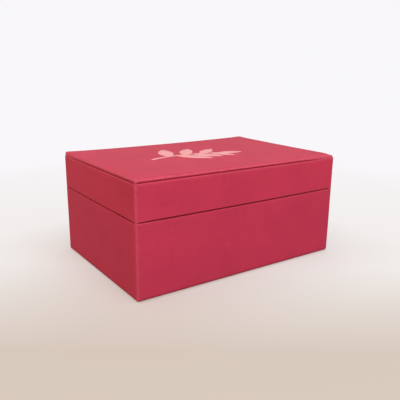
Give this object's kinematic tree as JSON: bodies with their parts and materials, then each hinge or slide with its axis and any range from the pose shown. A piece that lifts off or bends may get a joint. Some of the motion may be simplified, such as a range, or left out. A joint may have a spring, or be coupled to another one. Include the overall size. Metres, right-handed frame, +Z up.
{
  "type": "cloth-covered keepsake box",
  "caption": "Oblong cloth-covered board box with a deep lid on a cloth hinge, a lining that stands above the rim as a neck, and a separately covered top panel with a leaf sprig.",
  "frame": {"origin": "on the table under the middle of the box, at the centre of the bottom of its overall box", "axes": "+X along the long front to the right, -Y towards the front, +Y towards the hinge, +Z up"},
  "size_m": [0.24, 0.162, 0.1091],
  "materials": {
    "outer_cloth": "crimson book cloth, fine plain weave, matte with a faint sheen",
    "lining_cloth": "matching crimson cotton, matte",
    "motif_cloth": "pale pink cloth, fused flat",
    "greyboard": "recycled greyboard, flecked",
    "kraft_tape": "gummed kraft paper",
    "under_paper": "dark red paper, matte"
  },
  "bodies": {
    "base": {"base_floor_board": "greyboard", "base_front_board": "greyboard", "base_back_board": "greyboard", "base_left_board": "greyboard", "base_right_board": "greyboard", "base_front_left_tape": "kraft_tape", "base_front_right_tape": "kraft_tape", "base_back_left_tape": "kraft_tape", "base_back_right_tape": "kraft_tape", "base_wrap": "outer_cloth", "base_hinge_leaf": "outer_cloth", "base_under_sheet": "under_paper", "base_floor_lining_card": "greyboard", "base_front_lining_card": "greyboard", "base_back_lining_card": "greyboard", "base_left_lining_card": "greyboard", "base_right_lining_card": "greyboard", "base_floor_lining_cloth": "lining_cloth", "base_front_lining_cloth": "lining_cloth", "base_back_lining_cloth": "lining_cloth", "base_left_lining_cloth": "lining_cloth", "base_right_lining_cloth": "lining_cloth"},
    "lid": {"lid_deck_board": "greyboard", "lid_front_board": "greyboard", "lid_back_board": "greyboard", "lid_left_board": "greyboard", "lid_right_board": "greyboard", "lid_front_left_tape": "kraft_tape", "lid_front_right_tape": "kraft_tape", "lid_back_left_tape": "kraft_tape", "lid_back_right_tape": "kraft_tape", "lid_wrap": "outer_cloth", "lid_hinge_leaf": "outer_cloth", "lid_ceiling_lining_card": "greyboard", "lid_front_lining_card": "greyboard", "lid_back_lining_card": "greyboard", "lid_left_lining_card": "greyboard", "lid_right_lining_card": "greyboard", "lid_ceiling_lining_cloth": "lining_cloth", "lid_front_lining_cloth": "lining_cloth", "lid_back_lining_cloth": "lining_cloth", "lid_left_lining_cloth": "lining_cloth", "lid_right_lining_cloth": "lining_cloth", "top_panel_card": "greyboard", "top_panel_cloth": "outer_cloth", "motif_sprig": "motif_cloth"}
  },
  "joints": [
    {"name": "lid_hinge", "type": "hinge", "parent": "base", "child": "lid", "pos_m": [0, 0.081, 0.0714], "axis": [-1, 0, 0], "range_deg": [0, 178]}
  ]
}
